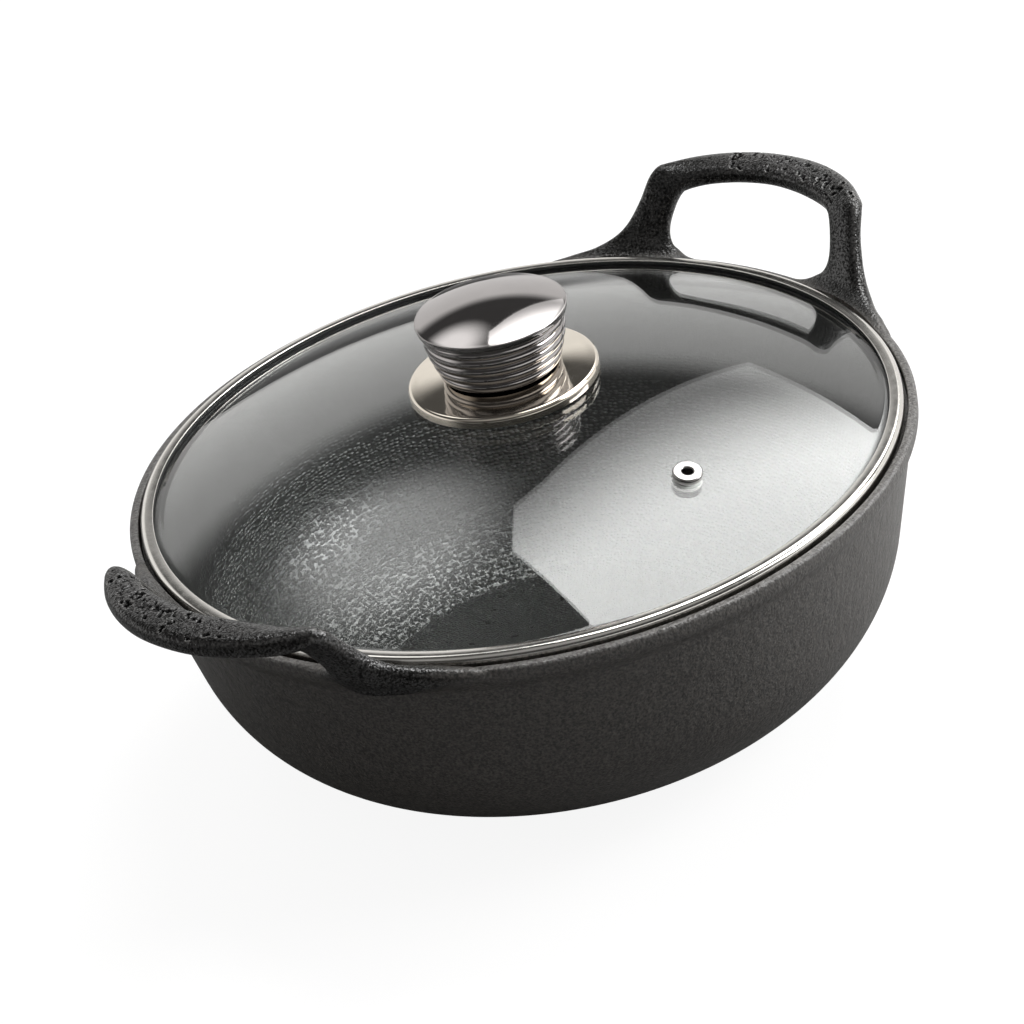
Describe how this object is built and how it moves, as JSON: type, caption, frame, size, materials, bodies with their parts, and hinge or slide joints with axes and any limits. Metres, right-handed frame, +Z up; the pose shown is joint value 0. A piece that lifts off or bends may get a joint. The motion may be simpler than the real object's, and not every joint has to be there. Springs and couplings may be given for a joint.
{
  "type": "lidded wok",
  "caption": "Deep round cast-iron wok with loop handles cast into the rim, and a domed glass lid with a steel band, a stepped knob and a steam vent.",
  "frame": {"origin": "centre of the flat base that the wok stands on", "axes": "+Z up through the knob, +X through the middle of a loop handle, +Y along the other level direction"},
  "size_m": [0.3618, 0.289, 0.1672],
  "materials": {
    "iron": "matt black seasoned cast iron with a fine pebbled skin",
    "lid_glass": "clear tempered glass, polished",
    "band_steel": "polished stainless band",
    "knob_steel": "mirror-polished stainless steel",
    "plate_steel": "polished stainless steel, slightly warm",
    "screw_steel": "plain stainless steel",
    "core_plastic": "black heat-proof moulding",
    "brass": "turned brass",
    "black_silicone": "black silicone",
    "pale_silicone": "translucent pale silicone"
  },
  "bodies": {
    "wok": {"wok_body": "iron"},
    "lid": {"lid_glass": "lid_glass", "lid_band": "band_steel", "lid_band_seal": "black_silicone", "knob_cap": "knob_steel", "knob_shell": "knob_steel", "knob_core": "core_plastic", "knob_insert": "brass", "knob_plate": "plate_steel", "plate_gasket": "black_silicone", "screw_pad": "black_silicone", "screw_washer": "screw_steel", "knob_screw": "screw_steel", "vent_eyelet": "screw_steel", "vent_gasket": "pale_silicone", "vent_lower_ring": "pale_silicone"}
  },
  "joints": [
    {"name": "lid_lift", "type": "slide", "parent": "wok", "child": "lid", "axis": [0, 0, 1], "range_m": [0, 0.14]}
  ]
}
